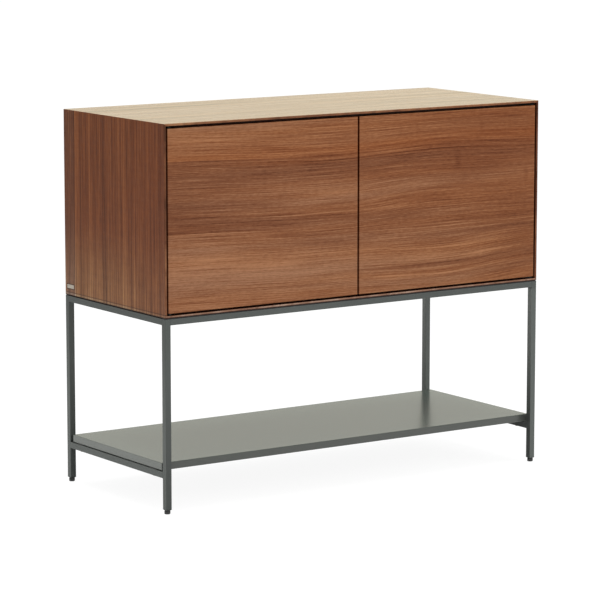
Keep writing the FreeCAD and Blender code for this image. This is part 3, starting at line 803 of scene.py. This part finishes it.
def solids_of(name):
    """The corner points of each separate solid of a CAD node, as lists of vectors."""
    copy = NODES[name].copy()
    copy.data = NODES[name].data.copy()
    copy.parent = None
    bpy.context.scene.collection.objects.link(copy)
    select_only(copy)
    bpy.ops.object.mode_set(mode="EDIT")
    bpy.ops.mesh.select_all(action="SELECT")
    bpy.ops.mesh.remove_doubles(threshold=0.000001)
    bpy.ops.mesh.separate(type="LOOSE")
    bpy.ops.object.mode_set(mode="OBJECT")
    parts = list(bpy.context.selected_objects)
    points = [[vertex.co.copy() for vertex in part.data.vertices] for part in parts]
    for part in parts:
        bpy.data.objects.remove(part)
    return points


def fastener_place(points):
    """Head point, outward direction, length and head radius of one screw or bolt."""
    low = Vector([min(point[axis] for point in points) for axis in range(3)])
    high = Vector([max(point[axis] for point in points) for axis in range(3)])
    size = high - low
    axis = max(range(3), key=lambda index: size[index])
    centre = (low + high) / 2
    widths = []
    for end in (low[axis], high[axis]):
        near = [point for point in points if abs(point[axis] - end) < size[axis] * 0.02]
        widths.append(max((point - centre)[other] for point in near for other in range(3) if other != axis))
    at_high = widths[1] > widths[0]
    head = centre.copy()
    head[axis] = high[axis] if at_high else low[axis]
    outward = Vector((0, 0, 0))
    outward[axis] = 1.0 if at_high else -1.0
    return head, outward, size[axis], max(widths)


# shares of another size
SCREW_HEAD = 0.61  # depth of a countersunk head, of its radius
SCREW_SHANK = 0.5  # width of a screw's shank, of its head's
SHANK_TIP = 0.5  # width of a shank's tip, of the shank's
CROSS_FLOOR = 0.55  # width of a cross recess at its floor, of its mouth's
# metres
THREAD_SIZE = 0.0036  # diameter of the shank that a thread's depth is taken from
BOLT_HEAD = 0.002  # height of a bolt's head
BOLT_EDGE = 0.0005  # rounding of its rim
BOLT_SHANK = 0.0022  # radius of a bolt's shank


def cross_cutter():
    """Two crossed bars that cut a cross recess into a head at the origin."""
    settings = bpy.context.scene.sideboard_fasteners
    arm, width = settings.cross_arm, settings.cross_width
    bars = []
    for size in ((arm, width), (width, arm)):
        bar = add_object(bpy.ops.mesh.primitive_cube_add, size=1.0, location=(0, 0, 0))
        bar.scale = (*size, 2 * settings.recess_depth)
        apply_place()
        pick(bar, "FACE", faces_down)
        narrow(CROSS_FLOOR)
        bpy.ops.object.mode_set(mode="OBJECT")
        bars.append(bar)
    combine(*bars, "UNION")
    return bars[0]


def socket_cutter():
    """A six-sided plug that cuts a socket into a bolt's head at the origin."""
    settings = bpy.context.scene.sideboard_fasteners
    return add_object(
        bpy.ops.mesh.primitive_cylinder_add, vertices=6, radius=settings.socket_radius,
        depth=2 * settings.recess_depth, location=(0, 0, 0),
    )


def round_head(sides, radius, depth):
    """A cylinder with its top at height zero, to shape into a head."""
    head = add_object(
        bpy.ops.mesh.primitive_cylinder_add, vertices=sides, radius=radius, depth=depth, location=(0, 0, -depth / 2),
    )
    apply_place()
    return head


def threaded_shank(length):
    """Extrudes the picked end face into a shank with ridges, down to a short tip."""
    settings = bpy.context.scene.sideboard_fasteners
    core = 1.0 - 2 * settings.thread_depth / THREAD_SIZE
    turns = int(length / settings.thread_pitch)
    steps = [(settings.thread_pitch / 2, core), (settings.thread_pitch / 2, 1 / core)] * turns
    for down, share in [*steps, (length - turns * settings.thread_pitch, SHANK_TIP)]:
        bpy.ops.mesh.extrude_region_move(TRANSFORM_OT_translate={"value": (0, 0, -down)})
        narrow(share)
    bpy.ops.object.mode_set(mode="OBJECT")


def model_screw(length, head_radius):
    """A countersunk screw under the origin, its head flush at height zero."""
    head_depth = head_radius * SCREW_HEAD
    screw = round_head(32, head_radius, head_depth)
    pick(screw, "FACE", faces_down)
    narrow(SCREW_SHANK)
    threaded_shank(length - head_depth)
    combine(screw, cross_cutter(), "DIFFERENCE")
    return screw


def model_bolt(length, head_radius):
    """A low-headed bolt under the origin, its head's top at height zero."""
    bolt = round_head(36, head_radius, BOLT_HEAD)
    pick(bolt, "FACE", lambda face: face.normal.z > 0.9)
    bpy.ops.mesh.bevel(offset=BOLT_EDGE, segments=3, affect="EDGES")
    bpy.ops.object.mode_set(mode="OBJECT")
    pick(bolt, "FACE", faces_down)
    bpy.ops.mesh.inset(thickness=head_radius - BOLT_SHANK)
    threaded_shank(length - BOLT_HEAD)
    combine(bolt, socket_cutter(), "DIFFERENCE")
    return bolt


def place_fasteners(name, model, body, material):
    """Copies one modelled fastener to each solid of a CAD group, joins them and stands them for the group."""
    places = [fastener_place(points) for points in solids_of(name)]
    length, radius = places[0][2:]
    pattern = model(length, radius)
    copies = []
    for head, outward, *_ in places:
        copy = pattern.copy()
        copy.data = pattern.data.copy()
        copy.matrix_world = Matrix.Translation(head) @ outward.to_track_quat("Z", "Y").to_matrix().to_4x4()
        bpy.context.scene.collection.objects.link(copy)
        copies.append(copy)
    bpy.data.objects.remove(pattern)
    select_only(*copies)
    apply_place()
    bpy.ops.object.join()
    group = bpy.context.object
    group.name = name + "_turned"
    bpy.ops.object.shade_smooth_by_angle(angle=math.radians(35))
    group.data.materials.clear()
    group.data.materials.append(material)
    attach(group, body)
    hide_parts(name)


class SIDEBOARD_OT_case(bpy.types.Operator):
    """Gives the case boards, the divider and the loose shelves their veneer"""

    bl_idname = "sideboard.case"
    bl_label = "Finish the case"

    def execute(self, context):
        paint(top_veneer(), "top_panel")
        # The bottom board's higher level and bluer tint lighten the whole board to lighten its front lip, a painted
        # highlight.
        paint(board_veneer("bottom_walnut", ALONG_X, ALONG_Y, 47.0, 0.62, (1.0, 1.12, 1.36)), "bottom_panel")
        paint(side_veneer(), "left_side_panel", "right_side_panel")
        paint(board_veneer("back_walnut", ALONG_X, ALONG_Z, 53.0, 0.40), "back_panel")
        paint(board_veneer("divider_walnut", ALONG_Z, ALONG_Y, 61.0, 0.46), "centre_divider")
        paint(board_veneer("shelf_walnut", ALONG_X, ALONG_Y, 67.0, 0.48), "left_inner_shelf", "right_inner_shelf")
        return {"FINISHED"}


class SIDEBOARD_OT_doors(bpy.types.Operator):
    """Gives the two doors one leaf of level veneer"""

    bl_idname = "sideboard.doors"
    bl_label = "Finish the doors"

    def execute(self, context):
        paint(door_veneer(), "left_door", "right_door")
        return {"FINISHED"}


class SIDEBOARD_OT_frame(bpy.types.Operator):
    """Gives the tube frame, its tabs and its leg plugs their powder coat"""

    bl_idname = "sideboard.frame"
    bl_label = "Finish the frame"

    def execute(self, context):
        steel = context.scene.sideboard_steel
        # The top tint is painted shade on the rails' tops in the gap under the case; the legs' shading is painted
        # light and shade.
        coat = coat_material(
            "frame_coat", steel.frame_tone, steel.frame_roughness, gloss=0.36, speckle=0.14, fineness=700.0,
            top_tint=(0.10, 0.08, 0.08), top_level=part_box("front_upper_rail")[1].z, painted_light_of=painted_leg_light,
        )
        legs = ["%s_%s_leg" % (end, side) for end in ENDS for side in SIDES]
        rails = ["%s_upper_rail" % side for side in ENDS + SIDES]
        paint(coat, "left_lower_rail", "right_lower_rail", "leg_plugs", "frame_tabs", *legs, *rails)
        return {"FINISHED"}


class SIDEBOARD_OT_shelf(bpy.types.Operator):
    """Gives the low shelf its satin lacquer"""

    bl_idname = "sideboard.shelf"
    bl_label = "Finish the low shelf"

    def execute(self, context):
        steel = context.scene.sideboard_steel
        # The top tint is painted shade on the shelf's top face, darker and greener than its edges; the front face
        # gets painted shade as well.
        lacquer = coat_material(
            "shelf_lacquer", steel.shelf_tone, steel.shelf_roughness, gloss=0.26, speckle=0.08, fineness=220.0,
            top_tint=(0.47, 0.535, 0.505), top_level=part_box("lower_shelf")[1].z, painted_light_of=painted_shelf_shade,
        )
        paint(lacquer, "lower_shelf")
        return {"FINISHED"}


class SIDEBOARD_OT_hardware(bpy.types.Operator):
    """Finishes hinges, latches, shelf pins, pads and feet"""

    bl_idname = "sideboard.hardware"
    bl_label = "Finish the hardware"

    def execute(self, context):
        dark = dark_steel()
        nickel = metal_material("nickel_plate", (0.56, 0.55, 0.53), 0.30, ALONG_X)
        black = plastic_material("black_plastic", (0.022, 0.022, 0.023), 0.42)
        grey = plastic_material("grey_plastic", (0.20, 0.20, 0.20), 0.40)
        rubber = plastic_material("foot_plastic", (0.034, 0.035, 0.034), 0.50)
        for side in SIDES:
            for level in ("upper", "lower"):
                start = "%s_%s_" % (side, level)
                paint(dark, start + "hinge_leaf", start + "hinge_pin", start + "door_plate")
            paint(nickel, side + "_strike_plate")
            paint(black, side + "_latch_housing")
            paint(grey, side + "_latch_plunger")
            for end in ENDS:
                paint(rubber, "%s_%s_foot" % (end, side))
        paint(nickel, "shelf_pins")
        paint(black, "spacer_strips", "shelf_pads")
        return {"FINISHED"}


class SIDEBOARD_OT_fasteners(bpy.types.Operator):
    """Models the screws and bolts with their recesses and threads"""

    bl_idname = "sideboard.fasteners"
    bl_label = "Model the fasteners"

    def execute(self, context):
        zinc = metal_material("zinc_plate", (0.50, 0.49, 0.46), 0.34, ALONG_Z)
        dark = dark_steel()
        for name, finish in (("back_panel_screws", zinc), ("hinge_leaf_screws", dark), ("latch_screws", zinc)):
            place_fasteners(name, model_screw, "cabinet", finish)
        for side in SIDES:
            place_fasteners(side + "_door_plate_screws", model_screw, side + "_door_body", dark)
        for name in ("case_bolts", "shelf_bolts"):
            place_fasteners(name, model_bolt, "cabinet", zinc)
        return {"FINISHED"}


class SIDEBOARD_OT_tag(bpy.types.Operator):
    """Models the small blank tag low on the case's left side"""

    bl_idname = "sideboard.tag"
    bl_label = "Model the blank tag"

    def execute(self, context):
        settings = context.scene.sideboard_tag
        middle = tag_centre() - Vector((settings.thickness / 2, 0, 0))
        tag = add_object(bpy.ops.mesh.primitive_cube_add, size=1.0, location=middle)
        tag.name = "blank_tag"
        tag.scale = (settings.thickness, settings.length, settings.height)
        apply_place()

        def at_corner(edge):
            first, second = (tag.data.vertices[index].co for index in edge.vertices)
            return abs(first.x - second.x) > settings.thickness / 2

        pick(tag, "EDGE", at_corner)
        bpy.ops.mesh.bevel(offset=settings.corner, segments=4, affect="EDGES")
        bpy.ops.object.mode_set(mode="OBJECT")
        tag.data.materials.append(plastic_material("pale_tag", (0.42, 0.37, 0.30), 0.45))
        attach(tag, "cabinet")
        return {"FINISHED"}


FLOOR_RADIUS = 40.0
LAMPS = (
    # name, place, point that it shines at, width and depth
    ("key_lamp", (2.7, -3.1, 1.7), (0, 0, 0.5), (2.0, 2.0)),
    ("top_lamp", (0.0, 0.3, 3.4), (0, 0, 0.9), (3.0, 2.4)),
)


def floor_material():
    """A pale floor that meets the white background and keeps a light shadow of the object."""
    material, tree, shader, place = new_material("pale_floor")
    path = add_node(tree, "ShaderNodeLightPath").outputs
    seen = path["Is Camera Ray"]
    plain = ramp(tree, noise(tree, stretch(tree, place, (3.0,) * 3)), ((0.3, 0.80), (0.7, 0.82)))
    away = add_node(tree, "ShaderNodeVectorMath", {0: place}, operation="LENGTH").outputs["Value"]
    mirrored = ramp(tree, weigh(tree, away, 0.1), ((0.20, 0.95), (0.60, 0.08)))
    colour = blend_colours(tree, path["Is Glossy Ray"], plain, mirrored)
    colour = blend_colours(tree, seen, colour, (0.16, 0.16, 0.16))
    tree.links.new(colour, shader.inputs["Base Color"])
    shader.inputs["Roughness"].default_value = 0.9
    shader.inputs["Specular IOR Level"].default_value = 0.0
    glow = add_node(tree, "ShaderNodeEmission", {"Color": (1, 1, 1, 1), "Strength": weigh(tree, seen, 0.90)})
    output = shader.outputs[0].links[0].to_socket
    total = add_node(tree, "ShaderNodeAddShader", {0: shader.outputs[0], 1: glow.outputs[0]})
    tree.links.new(total.outputs[0], output)
    return material


def build_floor():
    """A large round floor, a hair below the feet."""
    floor = add_object(
        bpy.ops.mesh.primitive_circle_add, vertices=96, radius=FLOOR_RADIUS, fill_type="NGON",
        location=(0, 0, -0.0002),
    )
    floor.name = "floor"
    apply_place()
    floor.data.materials.append(floor_material())


def build_sky(studio):
    """Even white light from all round, brighter and warm behind the object for reflections, white to the camera."""
    world = bpy.data.worlds.new("studio_sky")
    bpy.context.scene.world = world
    world.use_nodes = True
    tree = world.node_tree
    tree.nodes.clear()
    path = add_node(tree, "ShaderNodeLightPath").outputs
    direction = add_node(tree, "ShaderNodeTexCoord").outputs["Generated"]
    ahead = add_node(tree, "ShaderNodeSeparateXYZ", {0: direction}).outputs["Y"]
    mirrored = spread(tree, ahead, -0.2, 0.5, 0.35, 1.0)
    warm = maths(tree, "MULTIPLY", path["Is Glossy Ray"], spread(tree, ahead, 0.2, 0.5))
    colour = blend_colours(tree, warm, (1.0, 1.0, 1.0), studio.mirrored_sky)
    level = blend_values(tree, path["Is Glossy Ray"], studio.sky_strength, mirrored)
    level = blend_values(tree, path["Is Camera Ray"], level, 1.0)
    background = add_node(tree, "ShaderNodeBackground", {"Color": colour, "Strength": level})
    add_node(tree, "ShaderNodeOutputWorld", {"Surface": background.outputs[0]})


def build_lamp(name, place, target, size, power):
    """A large soft area lamp aimed at a point."""
    lamp = add_object(bpy.ops.object.light_add, type="AREA", location=place)
    lamp.name = name
    lamp.data.shape = "RECTANGLE"
    lamp.data.size, lamp.data.size_y = size
    lamp.data.energy = power
    lamp.rotation_euler = (Vector(target) - Vector(place)).to_track_quat("-Z", "Y").to_euler()
    lamp.visible_glossy = False


def build_camera(studio):
    """The camera at the photograph's place and angle."""
    turn = (math.pi / 2 - studio.tilt, 0.0, -studio.heading)
    camera = add_object(bpy.ops.object.camera_add, location=studio.camera_place, rotation=turn)
    camera.data.lens = studio.focal_length
    bpy.context.scene.camera = camera


class SIDEBOARD_OT_studio(bpy.types.Operator):
    """Builds the pale floor, the soft light and the camera"""

    bl_idname = "sideboard.studio"
    bl_label = "Build the studio"

    def execute(self, context):
        studio = context.scene.sideboard_studio
        build_floor()
        build_sky(studio)
        for lamp, power in zip(LAMPS, (studio.key_power, studio.top_power)):
            build_lamp(*lamp, power)
        build_camera(studio)
        context.scene.view_settings.view_transform = "Standard"
        return {"FINISHED"}


class SIDEBOARD_PT_finishes(bpy.types.Panel):
    """Lists the sideboard's operators and settings"""

    bl_label = "Sideboard"
    bl_space_type = "VIEW_3D"
    bl_region_type = "UI"
    bl_category = "Sideboard"

    def draw(self, context):
        for operator in OPERATORS:
            self.layout.operator(operator.bl_idname)
        for name in SETTINGS:
            group = getattr(context.scene, name)
            for key in group.bl_rna.properties.keys():
                if key not in ("rna_type", "name"):
                    self.layout.prop(group, key)


SETTINGS = {
    "sideboard_veneer": VeneerSettings,
    "sideboard_steel": SteelSettings,
    "sideboard_studio": StudioSettings,
    "sideboard_fasteners": FastenerSettings,
    "sideboard_tag": TagSettings,
}
OPERATORS = [
    SIDEBOARD_OT_case,
    SIDEBOARD_OT_doors,
    SIDEBOARD_OT_frame,
    SIDEBOARD_OT_shelf,
    SIDEBOARD_OT_hardware,
    SIDEBOARD_OT_fasteners,
    SIDEBOARD_OT_tag,
    SIDEBOARD_OT_studio,
]


def register():
    """Registers the classes and hangs the settings on the scene."""
    for group in [*SETTINGS.values(), *OPERATORS, SIDEBOARD_PT_finishes]:
        bpy.utils.register_class(group)
    for name, group in SETTINGS.items():
        setattr(bpy.types.Scene, name, bpy.props.PointerProperty(type=group))


def unregister():
    """Takes the settings and the classes away again."""
    for name in SETTINGS:
        delattr(bpy.types.Scene, name)
    for group in reversed([*SETTINGS.values(), *OPERATORS, SIDEBOARD_PT_finishes]):
        bpy.utils.unregister_class(group)


def main():
    """Builds everything in order."""
    register()
    for operator in OPERATORS:
        getattr(bpy.ops.sideboard, operator.bl_idname.split(".")[1])()


if __name__ == "__main__":
    main()
